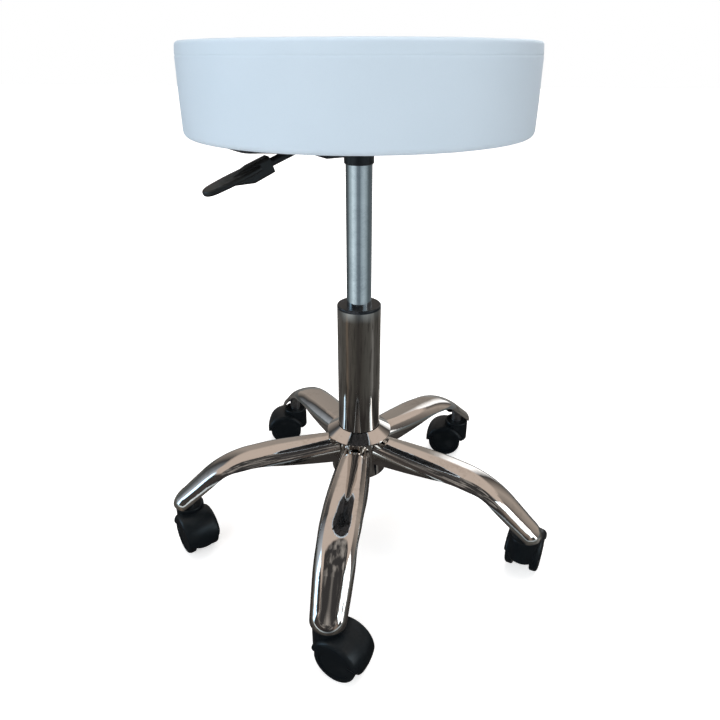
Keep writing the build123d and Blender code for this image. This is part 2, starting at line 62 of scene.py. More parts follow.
class Bench:
    """Adds and joins nodes in one node tree."""

    def __init__(self, tree: bpy.types.NodeTree) -> None:
        """Keeps the tree that the nodes go in."""
        self.tree = tree

    def add(self, kind: str, sockets: dict | None = None, **settings: object) -> bpy.types.Node:
        """Adds a node.

        Args:
            kind: Blender's node type.
            sockets: Input socket name or number to a value or an output socket.
            settings: The node's own properties.

        Returns:
            The new node.
        """
        node = self.tree.nodes.new(kind)
        for name, value in settings.items():
            setattr(node, name, value)
        for name, value in (sockets or {}).items():
            self.feed(node.inputs[name], value)
        return node

    def feed(self, socket: Socket, value: object) -> None:
        """Sets a socket to a value, or joins it to an output socket."""
        if isinstance(value, Socket):
            self.tree.links.new(value, socket)
        else:
            socket.default_value = value

    def math(self, operation: str, first: object, second: object = 0.0) -> Socket:
        """Adds a Math node and returns its output."""
        node = self.add("ShaderNodeMath", {0: first, 1: second}, operation=operation)
        return node.outputs[0]

    def spread(
        self, value: object, low: float, high: float, to_low: object = 0.0, to_high: object = 1.0
    ) -> Socket:
        """Maps a value from one range to another, clamped, and returns the output."""
        node = self.add(
            "ShaderNodeMapRange",
            {"Value": value, "From Min": low, "From Max": high, "To Min": to_low, "To Max": to_high},
        )
        return node.outputs["Result"]

    def mix(self, mask: object, first: object, second: object) -> Socket:
        """Mixes two colours by a mask.

        Args:
            mask: 0 for the first colour, 1 for the second.
            first: A colour or an output socket.
            second: A colour or an output socket.

        Returns:
            The colour output.
        """
        node = self.add("ShaderNodeMix", data_type="RGBA")
        for place, value in ((0, mask), (6, first), (7, second)):
            if place and isinstance(value, tuple):
                value = (*value[:3], 1.0)
            self.feed(node.inputs[place], value)
        return node.outputs[2]

    def blend(self, mask: object, first: bpy.types.Node, second: bpy.types.Node) -> bpy.types.Node:
        """Blends two shader nodes by a mask and returns the Mix Shader node."""
        return self.add("ShaderNodeMixShader", {0: mask, 1: first.outputs[0], 2: second.outputs[0]})

    def noise(self, vector: object, scale: object, detail: float = 3.0, rough: float = 0.55) -> Socket:
        """Adds a noise texture and returns its value."""
        sockets = {"Vector": vector, "Scale": scale, "Detail": detail, "Roughness": rough}
        return self.add("ShaderNodeTexNoise", sockets).outputs["Fac"]

    def cells(self, vector: object, scale: object, feature: str, uneven: float = 1.0) -> Socket:
        """Adds a Voronoi texture and returns its distance."""
        sockets = {"Vector": vector, "Scale": scale, "Randomness": uneven}
        return self.add("ShaderNodeTexVoronoi", sockets, feature=feature).outputs["Distance"]


class EffectShelf:
    """Builds the shared node groups and places them in materials."""

    def __init__(self) -> None:
        """Starts with no groups built."""
        self.built: dict[Effect, bpy.types.NodeTree] = {}

    def place(self, bench: Bench, effect: Effect, sockets: dict) -> bpy.types.Node:
        """Places a group in a material, building it on first use.

        Args:
            bench: The material's bench.
            effect: Which effect.
            sockets: Input values or links.

        Returns:
            The group node.
        """
        if effect not in self.built:
            self.built[effect] = getattr(self, f"_{effect.value}")()
        node = bench.tree.nodes.new("ShaderNodeGroup")
        node.node_tree = self.built[effect]
        for name, value in sockets.items():
            bench.feed(node.inputs[name], value)
        return node

    @staticmethod
    def _open(
        effect: Effect, values: list[str], outputs: list[str], vectors: tuple[str, ...] = ("Vector",)
    ) -> tuple[Bench, dict, bpy.types.Node]:
        """Starts a group.

        Args:
            effect: Which effect, whose value names the group.
            values: Names of the value inputs.
            outputs: Names of the value outputs.
            vectors: Names of the vector inputs, which come first.

        Returns:
            The bench, the inputs' sockets by name, and the group's output node.
        """
        tree = bpy.data.node_groups.new(effect.value, "ShaderNodeTree")
        kinds = [(label, "NodeSocketVector") for label in vectors]
        for label, kind in kinds + [(label, "NodeSocketFloat") for label in values]:
            tree.interface.new_socket(name=label, in_out="INPUT", socket_type=kind)
        for label in outputs:
            tree.interface.new_socket(name=label, in_out="OUTPUT", socket_type="NodeSocketFloat")
        bench = Bench(tree)
        entry = bench.add("NodeGroupInput")
        return bench, {s.name: s for s in entry.outputs if s.name}, bench.add("NodeGroupOutput")

    def _leather_grain(self) -> bpy.types.NodeTree:
        """Small rounded cells with fine creases between them, and a slow unevenness.

        Returns:
            The group's tree.
        """
        bench, source, end = self._open(Effect.LEATHER_GRAIN, ["Cells"], ["Height", "Crease", "Drift"])
        cells = bench.cells(source["Vector"], source["Cells"], "SMOOTH_F1", 0.9)
        edges = bench.cells(source["Vector"], source["Cells"], "DISTANCE_TO_EDGE", 0.9)
        crease = bench.spread(edges, 0.0, 0.09, 1.0, 0.0)
        fine = bench.noise(source["Vector"], bench.math("MULTIPLY", source["Cells"], 2.2), 2.0)
        dome = bench.math("SUBTRACT", 1.0, cells)
        height = bench.math("ADD", bench.math("MULTIPLY", dome, 0.6), bench.math("MULTIPLY", fine, 0.25))
        height = bench.math("SUBTRACT", height, bench.math("MULTIPLY", crease, 0.35))
        drift = bench.noise(source["Vector"], 9.0, 2.0)
        for label, value in (("Height", height), ("Crease", crease), ("Drift", drift)):
            bench.feed(end.inputs[label], value)
        return bench.tree

    def _smudge(self) -> bpy.types.NodeTree:
        """Soft patches of handling marks with finer streaks in them.

        Returns:
            The group's tree.
        """
        bench, source, end = self._open(Effect.SMUDGE, ["Scale", "Cover"], ["Mask", "Ripple"])
        patch = bench.noise(source["Vector"], source["Scale"], 4.0, 0.6)
        streak = bench.noise(source["Vector"], bench.math("MULTIPLY", source["Scale"], 7.0), 3.0)
        joined = bench.math("MULTIPLY", patch, bench.math("ADD", 0.55, bench.math("MULTIPLY", streak, 0.9)))
        level = bench.math("SUBTRACT", 0.75, source["Cover"])
        mask = bench.math("MULTIPLY", bench.math("SUBTRACT", joined, level), 3.5)
        clamped = bench.add("ShaderNodeClamp", {"Value": mask})
        bench.feed(end.inputs["Mask"], clamped.outputs[0])
        slow = bench.math("MULTIPLY", source["Scale"], 1.6)
        bench.feed(end.inputs["Ripple"], bench.noise(source["Vector"], slow, 1.0))
        return bench.tree

    def _turned_lines(self) -> bpy.types.NodeTree:
        """Fine rings round a vertical axis, as grinding leaves them.

        Returns:
            The group's tree.
        """
        bench, source, end = self._open(Effect.TURNED_LINES, ["Pitch"], ["Height", "Mask"])
        split = bench.add("ShaderNodeSeparateXYZ", {"Vector": source["Vector"]})
        tall = bench.math("MULTIPLY", split.outputs["Z"], source["Pitch"])
        side = bench.math("MULTIPLY", bench.math("ADD", split.outputs["X"], split.outputs["Y"]), 14.0)
        ring = bench.add("ShaderNodeCombineXYZ", {"X": side, "Y": 0.0, "Z": tall})
        lines = bench.noise(ring.outputs[0], 1.0, 4.0, 0.7)
        broad_tall = bench.math("MULTIPLY", tall, 0.03)
        broad = bench.add("ShaderNodeCombineXYZ", {"X": side, "Y": 3.0, "Z": broad_tall})
        bench.feed(end.inputs["Height"], lines)
        bench.feed(end.inputs["Mask"], bench.spread(bench.noise(broad.outputs[0], 1.0, 3.0), 0.4, 0.65))
        return bench.tree

    def _moulded_skin(self) -> bpy.types.NodeTree:
        """Spark-eroded mould texture: fine pebbles, with scattered scuffs.

        Returns:
            The group's tree.
        """
        bench, source, end = self._open(Effect.MOULDED_SKIN, ["Pebbles"], ["Height", "Scuff"])
        pebble = bench.cells(source["Vector"], source["Pebbles"], "SMOOTH_F1")
        fine = bench.noise(source["Vector"], bench.math("MULTIPLY", source["Pebbles"], 0.7), 3.0)
        height = bench.math("ADD", bench.math("MULTIPLY", pebble, 0.6), fine)
        marks = bench.noise(source["Vector"], 70.0, 5.0, 0.7)
        scuff = bench.math("MULTIPLY", marks, bench.noise(source["Vector"], 18.0, 2.0))
        bench.feed(end.inputs["Height"], height)
        bench.feed(end.inputs["Scuff"], bench.spread(scuff, 0.30, 0.42))
        return bench.tree

    def _settled_dust(self) -> bpy.types.NodeTree:
        """Dust that lies on surfaces that face up, thicker in patches.

        Returns:
            The group's tree.
        """
        bench, source, end = self._open(Effect.SETTLED_DUST, ["Amount"], ["Mask"], ("Vector", "Normal"))
        split = bench.add("ShaderNodeSeparateXYZ", {"Vector": source["Normal"]})
        facing = bench.spread(split.outputs["Z"], 0.15, 0.95)
        patch = bench.spread(bench.noise(source["Vector"], 55.0, 6.0, 0.7), 0.38, 0.7)
        specks = bench.spread(bench.noise(source["Vector"], 900.0, 2.0), 0.55, 0.7, 0.35, 1.0)
        both = bench.math("MULTIPLY", bench.math("MULTIPLY", facing, patch), specks)
        bench.feed(end.inputs["Mask"], bench.math("MULTIPLY", both, source["Amount"]))
        return bench.tree

    def _spun_dots(self) -> bpy.types.NodeTree:
        """Non-woven cloth: pressed dots in a grid over loose fibres.

        Returns:
            The group's tree.
        """
        bench, source, end = self._open(Effect.SPUN_DOTS, ["Dots"], ["Height", "Fibre"])
        dots = bench.cells(source["Vector"], source["Dots"], "F1", 0.0)
        pressed = bench.spread(dots, 0.22, 0.34)
        stretch = bench.add(
            "ShaderNodeMapping",
            {"Vector": source["Vector"], "Scale": (1.0, 0.22, 1.0), "Rotation": (0.0, 0.0, 0.5)},
        )
        fibre = bench.noise(stretch.outputs[0], 1500.0, 4.0, 0.7)
        bench.feed(end.inputs["Height"], bench.math("ADD", pressed, bench.math("MULTIPLY", fibre, 0.7)))
        bench.feed(end.inputs["Fibre"], fibre)
        return bench.tree


SHELF = EffectShelf()


# ------------------------------------------------------------------ finishes
def open_material(name: str) -> tuple[bpy.types.Material, Bench, bpy.types.Node, Socket]:
    """Starts a material.

    Args:
        name: The material's name.

    Returns:
        The material, its bench, its Principled shader, and its object coordinates.
    """
    material = bpy.data.materials.new(name)
    material.use_nodes = True
    material.node_tree.nodes.clear()
    bench = Bench(material.node_tree)
    shader = bench.add("ShaderNodeBsdfPrincipled")
    bench.add("ShaderNodeOutputMaterial", {"Surface": shader.outputs[0]})
    place = bench.add("ShaderNodeTexCoord").outputs["Object"]
    return material, bench, shader, place


def bump(bench: Bench, shader: bpy.types.Node, height: object, distance: float, strength: float) -> None:
    """Joins a height to the shader's normal through a Bump node."""
    node = bench.add("ShaderNodeBump", {"Height": height, "Distance": distance, "Strength": strength})
    bench.feed(shader.inputs["Normal"], node.outputs[0])


@dataclass(frozen=True)
class MirrorChrome:
    """Polished chrome plate with faint handling marks and a slow ripple."""

    name: str
    tint: Color = (0.86, 0.835, 0.81)
    dull_tint: Color = (0.70, 0.67, 0.64)
    roughness: float = 0.05
    dull_roughness: float = 0.14
    ripple: float = 0.00035

    def build(self) -> bpy.types.Material:
        """Builds the material.

        Returns:
            The finish, ready to give to nodes.
        """
        material, bench, shader, place = open_material(self.name)
        marks = SHELF.place(bench, Effect.SMUDGE, {"Vector": place, "Scale": 26.0, "Cover": 0.22})
        bench.feed(shader.inputs["Base Color"], bench.mix(marks.outputs["Mask"], self.tint, self.dull_tint))
        bench.feed(
            shader.inputs["Roughness"],
            bench.spread(marks.outputs["Mask"], 0.0, 1.0, self.roughness, self.dull_roughness),
        )
        shader.inputs["Metallic"].default_value = 1.0
        bump(bench, shader, marks.outputs["Ripple"], self.ripple, 0.6)
        return material


@dataclass(frozen=True)
class TurnedMetal:
    """Ground or turned metal with fine rings round the upright axis."""

    name: str
    tint: Color
    dull_tint: Color
    roughness: float = 0.16
    dull_roughness: float = 0.3
    pitch: float = 2600.0
    depth: float = 0.000012

    def build(self) -> bpy.types.Material:
        """Builds the material.

        Returns:
            The finish, ready to give to nodes.
        """
        material, bench, shader, place = open_material(self.name)
        lines = SHELF.place(bench, Effect.TURNED_LINES, {"Vector": place, "Pitch": self.pitch})
        marks = SHELF.place(bench, Effect.SMUDGE, {"Vector": place, "Scale": 45.0, "Cover": 0.36})
        ringed = bench.math("MULTIPLY", lines.outputs["Mask"], 0.6)
        reflection_patches = bench.math("MAXIMUM", ringed, marks.outputs["Mask"])
        rough = bench.spread(reflection_patches, 0.0, 1.0, self.roughness, self.dull_roughness)
        bench.feed(shader.inputs["Base Color"], bench.mix(reflection_patches, self.tint, self.dull_tint))
        bench.feed(shader.inputs["Roughness"], rough)
        shader.inputs["Metallic"].default_value = 1.0
        bump(bench, shader, lines.outputs["Height"], self.depth, 0.7)
        return material


@dataclass(frozen=True)
class ZincPlate:
    """Zinc-plated steel: mottled, slightly dull, with grey patches."""

    name: str
    tint: Color = (0.72, 0.73, 0.75)
    dull_tint: Color = (0.46, 0.48, 0.50)
    roughness: float = 0.28

    def build(self) -> bpy.types.Material:
        """Builds the material.

        Returns:
            The finish, ready to give to nodes.
        """
        material, bench, shader, place = open_material(self.name)
        marks = SHELF.place(bench, Effect.SMUDGE, {"Vector": place, "Scale": 130.0, "Cover": 0.42})
        bench.feed(shader.inputs["Base Color"], bench.mix(marks.outputs["Mask"], self.tint, self.dull_tint))
        bench.feed(
            shader.inputs["Roughness"],
            bench.spread(marks.outputs["Mask"], 0.0, 1.0, self.roughness, self.roughness + 0.2),
        )
        shader.inputs["Metallic"].default_value = 1.0
        bump(bench, shader, marks.outputs["Ripple"], 0.00008, 0.5)
        return material


@dataclass(frozen=True)
class MouldedPlastic:
    """Moulded black plastic with a fine pebbled skin, scuffs and settled dust."""

    name: str
    tint: Color
    scuff_tint: Color
    dust_tint: Color = (0.20, 0.19, 0.17)
    roughness: float = 0.34
    scuff_roughness: float = 0.55
    pebbles: float = 1900.0
    depth: float = 0.00003
    dust: float = 0.35
    gloss: float = 0.5

    def build(self) -> bpy.types.Material:
        """Builds the material.

        Returns:
            The finish, ready to give to nodes.
        """
        material, bench, shader, place = open_material(self.name)
        skin = SHELF.place(bench, Effect.MOULDED_SKIN, {"Vector": place, "Pebbles": self.pebbles})
        upward = bench.add("ShaderNodeNewGeometry").outputs["Normal"]
        lie = {"Vector": place, "Normal": upward, "Amount": self.dust}
        dust = SHELF.place(bench, Effect.SETTLED_DUST, lie)
        reflection_patches = bench.mix(skin.outputs["Scuff"], self.tint, self.scuff_tint)
        bench.feed(shader.inputs["Base Color"], bench.mix(dust.outputs["Mask"], reflection_patches, self.dust_tint))
        rough = bench.spread(skin.outputs["Scuff"], 0.0, 1.0, self.roughness, self.scuff_roughness)
        dusty = bench.math("MULTIPLY", dust.outputs["Mask"], 0.3)
        bench.feed(shader.inputs["Roughness"], bench.math("ADD", rough, dusty))
        shader.inputs["Specular IOR Level"].default_value = self.gloss
        shader.inputs["Specular Tint"].default_value = (0.80, 0.92, 1.0, 1.0)
        bump(bench, shader, skin.outputs["Height"], self.depth, 0.6)
        return material


@dataclass(frozen=True)
class SoftVinyl:
    """Pale upholstery vinyl with a fine leather grain and slow colour drift; the grain's creases get a
    painted shade.
    """

    name: str
    tint: Color
    shade_tint: Color
    crease_shade_tint: Color
    cells: float = 780.0
    depth: float = 0.00005
    roughness: float = 0.44

    def build(self) -> bpy.types.Material:
        """Builds the material.

        Returns:
            The finish, ready to give to nodes.
        """
        material, bench, shader, place = open_material(self.name)
        grain = SHELF.place(bench, Effect.LEATHER_GRAIN, {"Vector": place, "Cells": self.cells})
        drift = bench.spread(grain.outputs["Drift"], 0.35, 0.65)
        body = bench.mix(drift, self.tint, self.shade_tint)
        # Painted shade: the grain's creases are darkened a little in colour.
        crease = bench.math("MULTIPLY", grain.outputs["Crease"], 0.16)
        bench.feed(shader.inputs["Base Color"], bench.mix(crease, body, self.crease_shade_tint))
        bench.feed(
            shader.inputs["Roughness"],
            bench.spread(grain.outputs["Height"], 0.2, 0.9, self.roughness + 0.10, self.roughness - 0.04),
        )
        shader.inputs["Specular IOR Level"].default_value = 0.45
        shader.inputs["Sheen Weight"].default_value = 0.06
        shader.inputs["Sheen Roughness"].default_value = 0.4
        bump(bench, shader, grain.outputs["Height"], self.depth, 0.3)
        return material


@dataclass(frozen=True)
class SpunCloth:
    """Thin black non-woven cloth with a pressed dot pattern."""

    name: str
    tint: Color = (0.014, 0.014, 0.016)
    fibre_tint: Color = (0.05, 0.05, 0.054)

    def build(self) -> bpy.types.Material:
        """Builds the material.

        Returns:
            The finish, ready to give to nodes.
        """
        material, bench, shader, place = open_material(self.name)
        weave = SHELF.place(bench, Effect.SPUN_DOTS, {"Vector": place, "Dots": 620.0})
        mask = bench.spread(weave.outputs["Fibre"], 0.42, 0.68)
        bench.feed(shader.inputs["Base Color"], bench.mix(mask, self.tint, self.fibre_tint))
        bench.feed(shader.inputs["Roughness"], bench.spread(mask, 0.0, 1.0, 0.82, 0.95))
        shader.inputs["Sheen Weight"].default_value = 0.25
        bump(bench, shader, weave.outputs["Height"], 0.00008, 0.7)
        return material


@dataclass(frozen=True)
class BirchPly:
    """Birch plywood: long grain with darker growth bands."""

    name: str
    tint: Color = (0.62, 0.44, 0.26)
    band_tint: Color = (0.42, 0.27, 0.14)

    def build(self) -> bpy.types.Material:
        """Builds the material.

        Returns:
            The finish, ready to give to nodes.
        """
        material, bench, shader, place = open_material(self.name)
        stretch = bench.add("ShaderNodeMapping", {"Vector": place, "Scale": (4.0, 60.0, 520.0)})
        grain = bench.noise(stretch.outputs[0], 1.0, 6.0, 0.6)
        bands = bench.spread(grain, 0.4, 0.62)
        bench.feed(shader.inputs["Base Color"], bench.mix(bands, self.tint, self.band_tint))
        bench.feed(shader.inputs["Roughness"], bench.spread(grain, 0.3, 0.7, 0.55, 0.75))
        bump(bench, shader, grain, 0.0001, 0.5)
        return material


def dress(material: bpy.types.Material, *names: str) -> None:
    """Gives CAD nodes a material in every slot.

    Args:
        material: The finish.
        names: The nodes.
    """
    for name in names:
        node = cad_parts[name]
        for slot in node.material_slots:
            slot.material = material
        if not node.material_slots:
            node.data.materials.append(material)


def hand_over(
    name: str, form: bmesh.types.BMesh, material: bpy.types.Material, smooth: bool = True
) -> bpy.types.Object:
    """Turns a finished bmesh into an object in the scene.

    Args:
        name: The piece's name.
        form: Its mesh, which is freed.
        material: Its finish.
        smooth: Whether its faces shade smoothly.

    Returns:
        The object, at the origin.
    """
    mesh = bpy.data.meshes.new(name)
    form.to_mesh(mesh)
    form.free()
    for face in mesh.polygons:
        face.use_smooth = smooth
    mesh.materials.append(material)
    piece = bpy.data.objects.new(name, mesh)
    bpy.context.scene.collection.objects.link(piece)
    log.info("%s: %d faces", name, len(mesh.polygons))
    return piece


def spun(profile: list[Spot], steps: int) -> bmesh.types.BMesh:
    """Spins a radius and height profile a full turn about the upright axis.

    Args:
        profile: Points from one end to the other, as (radius, height) in metres.
        steps: How many segments the turn has.

    Returns:
        A closed bmesh with its doubles merged and its faces outwards.
    """
    form = bmesh.new()
    points = [bmesh.ops.create_vert(form, co=(r, 0.0, z))["vert"][0] for r, z in profile]
    edges = [form.edges.new(pair) for pair in zip(points, points[1:])]
    bmesh.ops.spin(
        form,
        geom=points + edges,
        cent=(0, 0, 0),
        axis=(0, 0, 1),
        angle=math.tau,
        steps=steps,
        use_merge=True,
        use_duplicate=False,
    )
    bmesh.ops.remove_doubles(form, verts=form.verts, dist=0.00002)
    bmesh.ops.recalc_face_normals(form, faces=form.faces)
    return form


def arc(center: Spot, radius: float, start: float, end: float, count: int) -> list[Spot]:
    """Points along an arc in the radius and height plane.

    Args:
        center: The arc's centre.
        radius: Its radius.
        start: First angle in degrees.
        end: Last angle in degrees.
        count: How many points.

    Returns:
        The points.
    """
    angles = [math.radians(start + (end - start) * k / (count - 1)) for k in range(count)]
    return [(center[0] + radius * math.cos(a), center[1] + radius * math.sin(a)) for a in angles]


def run(first: Spot, last: Spot, count: int) -> list[Spot]:
    """Evenly spaced points on a straight line, without its two ends.

    Args:
        first: One end.
        last: The other end.
        count: How many points.

    Returns:
        The points.
    """
    across, up = last[0] - first[0], last[1] - first[1]
    shares = [k / (count + 1) for k in range(1, count + 1)]
    return [(first[0] + across * share, first[1] + up * share) for share in shares]


def around(turn: float, size: float, height: float) -> float:
    """Slow noise that closes on itself round the upright axis.

    Args:
        turn: Direction in radians.
        size: How quickly it changes round the turn.
        height: Where along the noise's own axis.

    Returns:
        A value of about -1 to 1.
    """
    return noise.noise(Vector((math.cos(turn) * size, math.sin(turn) * size, height)))


# ------------------------------------------------------------------ sub-assemblies
@dataclass
class SeatCushion:
    """Round foam cushion in a fitted vinyl cover, with a seam round the top and a hem below."""

    radius: float = 0.1697
    top: float = 0.5745
    bottom: float = 0.4957
    rim_drop: float = 0.0014
    rim_inner_radius: float = 0.1600
    seam_height: float = 0.5628
    seam_groove: tuple[Spot, ...] = (
        (-0.0001, 0.0018),
        (-0.0002, 0.0006),
        (-0.0005, 0.0),
        (-0.0002, -0.0004),
        (0.0001, -0.0012),
        (0.0001, -0.0030),
    )
    crown: float = 0.0004
    crown_rings: int = 17
    top_edge: float = 0.0036
    bottom_edge: float = 0.0055
    board_radius: float = 0.1643
    board_bottom: float = 0.49675
    board_top: float = 0.5092
    hem_radius: float = 0.1382
    steps: int = 160
    fill_frames: int = 20
    top_swell: float = 0.0006
    wall_swell: float = 0.0018
    puckers: int = 104
    pucker_depth: float = 0.00016
    pucker_reach: float = 0.0055
    wall_wobble: float = 0.0009
    top_dip: float = 0.0005
    folds: int = 46
    fold_depth: float = 0.0003

    def profile(self) -> list[Spot]:
        """The cover's outline from the middle of the top, round the outside, to the middle inside.

        Returns:
            Points as (radius, height).
        """
        r, edge, rings = self.radius, self.top_edge, self.crown_rings
        points = [(0.0, self.top + self.crown)]
        for k in range(1, rings):
            x = (r - edge) * k / rings
            points.append((x, self.top + self.crown * (1 - (k / rings) ** 2)))
        points += arc((r - edge - 0.0003, self.top - edge), edge, 90, 4, 8)
        points += [(r + out, self.seam_height + up) for out, up in self.seam_groove]
        rim = self.bottom - self.rim_drop
        low = rim + self.bottom_edge
        points += run(points[-1], (r, low), 18)
        points += arc((r - self.bottom_edge, low), self.bottom_edge, 0, -90, 7)
        points += run((r - self.bottom_edge, rim), (self.rim_inner_radius, self.bottom), 2)
        points += run((self.rim_inner_radius, self.bottom), (self.hem_radius, self.bottom), 6)
        points += [(self.hem_radius, self.bottom), (self.hem_radius, self.board_bottom)]
        points += run((self.hem_radius, self.board_bottom), (self.board_radius, self.board_bottom), 3)
        points += [(self.board_radius, self.board_bottom), (self.board_radius, self.board_top)]
        points += run((self.board_radius, self.board_top), (0.0, self.board_top), 5)
        points.append((0.0, self.board_top))
        return points

    def swell(self, piece: bpy.types.Object) -> None:
        """Fills the cover by a cloth simulation held at the seam, hem and board, and applies its result.

        Args:
            piece: The cushion, before any modifier.
        """
        mesh = piece.data
        rest = [v.co.copy() for v in mesh.vertices]
        held = [v.index for v in mesh.vertices if self._is_held(v.co)]
        group = piece.vertex_groups.new(name="held")
        group.add(held, 1.0, "REPLACE")
        cloth = piece.modifiers.new("fill", "CLOTH")
        settings = cloth.settings
        settings.quality = 6
        settings.mass = 0.35
        settings.tension_stiffness = 40.0
        settings.compression_stiffness = 40.0
        settings.shear_stiffness = 12.0
        settings.bending_stiffness = 4.0
        settings.air_damping = 4.0
        settings.use_pressure = True
        settings.uniform_pressure_force = 4.0
        settings.vertex_group_mass = "held"
        settings.effector_weights.gravity = 0.0
        scene = bpy.context.scene
        for step in range(1, self.fill_frames + 1):
            scene.frame_set(step)
        settled = piece.evaluated_get(bpy.context.evaluated_depsgraph_get()).data
        places = [v.co.copy() for v in settled.vertices]
        piece.modifiers.remove(cloth)
        piece.vertex_groups.remove(group)
        for vertex, start, end in zip(mesh.vertices, rest, places):
            shift = end - start
            cap = self.top_swell if start.z > self.seam_height else self.wall_swell
            if shift.length > cap:
                shift.length = cap
            vertex.co = start + shift
        scene.frame_set(1)
        moved = max((v.co - start).length for v, start in zip(mesh.vertices, rest))
        log.info("seat_cushion: filled, largest move %.1f mm", moved * 1000)

    def _is_held(self, place: Vector) -> bool:
        """Tells whether the seam thread, the hem or the board keeps a point still.

        Args:
            place: The point.

        Returns:
            True where it is held.
        """
        reach = math.hypot(place.x, place.y)
        at_seam = abs(place.z - self.seam_height) < 0.0017 and reach > self.radius - 0.004
        on_board = reach < self.board_radius + 0.0005 and place.z < self.board_top + 0.001
        return at_seam or place.z < self.bottom + 0.003 or on_board

    def gather(self, piece: bpy.types.Object) -> None:
        """Adds the small puckers along the seam, the slow unevenness of the wall and folds at the hem.

        Args:
            piece: The filled cushion.
        """
        for vertex in piece.data.vertices:
            place = vertex.co
            reach = math.hypot(place.x, place.y)
            if reach < 0.02:
                continue
            turn = math.atan2(place.y, place.x)
            out = Vector((place.x / reach, place.y / reach, 0.0))
            wobble = around(turn, 2.4, place.z * 22)
            if reach > self.board_radius + 0.001:
                near = math.exp(-((place.z - self.seam_height) / self.pucker_reach) ** 2)
                phase = turn * self.puckers + 2.2 * around(turn, 5, 1)
                wall = math.sin(max(0.0, min(1.0, (place.z - self.bottom) / 0.066)) * math.pi)
                pucker = near * self.pucker_depth * math.cos(phase)
                vertex.co += out * (pucker + wall * self.wall_wobble * wobble)
            elif place.z > self.top - 0.004:
                dip = noise.noise(Vector((place.x * 14, place.y * 14, 3.0)))
                vertex.co.z += self.top_dip * dip * min(1.0, (self.radius - reach) / 0.03)
            if place.z < self.bottom + 0.003 and reach > self.hem_radius + 0.002:
                phase = turn * self.folds + 3.0 * around(turn, 4, 7)
                inward = max(0.0, min(1.0, (self.radius - reach) / 0.012))
                vertex.co.z -= self.fold_depth * inward * (0.5 + 0.5 * math.cos(phase))

    def build(self, vinyl: bpy.types.Material) -> bpy.types.Object:
        """Builds the cushion.

        Args:
            vinyl: The cover's finish.

        Returns:
            The padded piece.
        """
        piece = hand_over("seat_cushion", spun(self.profile(), self.steps), vinyl)
        self.swell(piece)
        self.gather(piece)
        smooth = piece.modifiers.new("smooth", "SUBSURF")
        smooth.levels = 1
        smooth.render_levels = 1
        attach(piece, "seat")
        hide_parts("seat_cover", "seat_foam")
        return piece


@dataclass
class DustCover:
    """Thin black cloth stapled under the seat board, with its edge lapped over the hem."""

    radius: float = 0.158
    lap_radius: float = 0.1385
    inner_height: float = 0.49648
    lap_height: float = 0.49528
    plate_reach: float = 0.108
    thickness: float = 0.0004
    hollow: float = 0.0005
    looseness: float = 0.0005
    ripple: float = 0.0003
    staple_radius: float = 0.1505
    staple_size: Place = (0.0011, 0.0098, 0.0006)
    staple_sink: float = 0.00045
    staple_lean: float = 7.0
    staples: int = 26
    sag_turn: float = -117.5
    sag: float = 0.0034
    sag_width: float = 13.0
    rings: int = 46
    steps: int = 208

    def height(self, reach: float, turn: float) -> float:
        """How high the cloth lies.

        Args:
            reach: Distance from the middle.
            turn: Direction in radians.

        Returns:
            The height in metres.
        """
        if reach < self.plate_reach:
            return self.inner_height
        if reach < self.lap_radius:
            share = (reach - self.plate_reach) / (self.lap_radius - self.plate_reach)
            ease = share * share * (3 - 2 * share)
            middle = math.sin(share * math.pi)
            dip = self.hollow * middle * (0.8 + around(turn, 6, reach * 60))
            return self.inner_height + (self.lap_height - self.inner_height) * ease - dip
        share = (reach - self.lap_radius) / (self.radius - self.lap_radius)
        between = 0.5 - 0.5 * math.cos(turn * self.staples)
        away = abs(reach - self.staple_radius) / (self.radius - self.staple_radius)
        loose = self.looseness * between * (0.4 + away) + self.ripple * share * around(turn, 9, 2)
        apart = math.remainder(math.degrees(turn) - self.sag_turn, 360.0)
        droop = self.sag * math.exp(-((apart / self.sag_width) ** 2)) * share**1.4
        return self.lap_height - abs(loose) - droop

    def build(self, cloth: bpy.types.Material, wire: bpy.types.Material) -> None:
        """Builds the cloth and its staples.

        Args:
            cloth: The cloth's finish.
            wire: The staples' finish.
        """
        profile = [(self.radius * k / self.rings, self.inner_height) for k in range(self.rings + 1)]
        form = spun(profile, self.steps)
        for vertex in form.verts:
            reach = math.hypot(vertex.co.x, vertex.co.y)
            vertex.co.z = self.height(reach, math.atan2(vertex.co.y, vertex.co.x))
        piece = hand_over("seat_dust_cover", form, cloth)
        wall = piece.modifiers.new("thickness", "SOLIDIFY")
        wall.thickness = self.thickness
        wall.offset = 0.0
        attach(piece, "seat")
        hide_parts("dust_cover")
        self._staple(wire)

    def _staple(self, wire: bpy.types.Material) -> None:
        """Drives the ring of wire staples through the cloth's edge.

        Args:
            wire: The staples' finish.
        """
        form = bmesh.new()
        for number in range(self.staples):
            turn = math.tau * number / self.staples
            lean = math.radians(self.staple_lean * noise.noise(Vector((number * 1.7, 0.3, 0.0))))
            made = bmesh.ops.create_cube(form, size=1.0)["verts"]
            bmesh.ops.scale(form, verts=made, vec=self.staple_size)
            edges = list({e for v in made for e in v.link_edges})
            rounded = bmesh.ops.bevel(
                form, geom=edges, offset=0.0002, affect="EDGES", segments=2, profile=0.5, material=-1
            )
            verts = list({v for f in rounded["faces"] for v in f.verts} | {v for v in made if v.is_valid})
            low = self.height(self.staple_radius, turn) - self.staple_sink
            out = Matrix.Translation((self.staple_radius, 0, low))
            matrix = Matrix.Rotation(turn, 4, "Z") @ out @ Matrix.Rotation(lean, 4, "Z")
            bmesh.ops.transform(form, matrix=matrix, verts=verts)
        piece = hand_over("dust_cover_staples", form, wire, smooth=False)
        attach(piece, "seat")


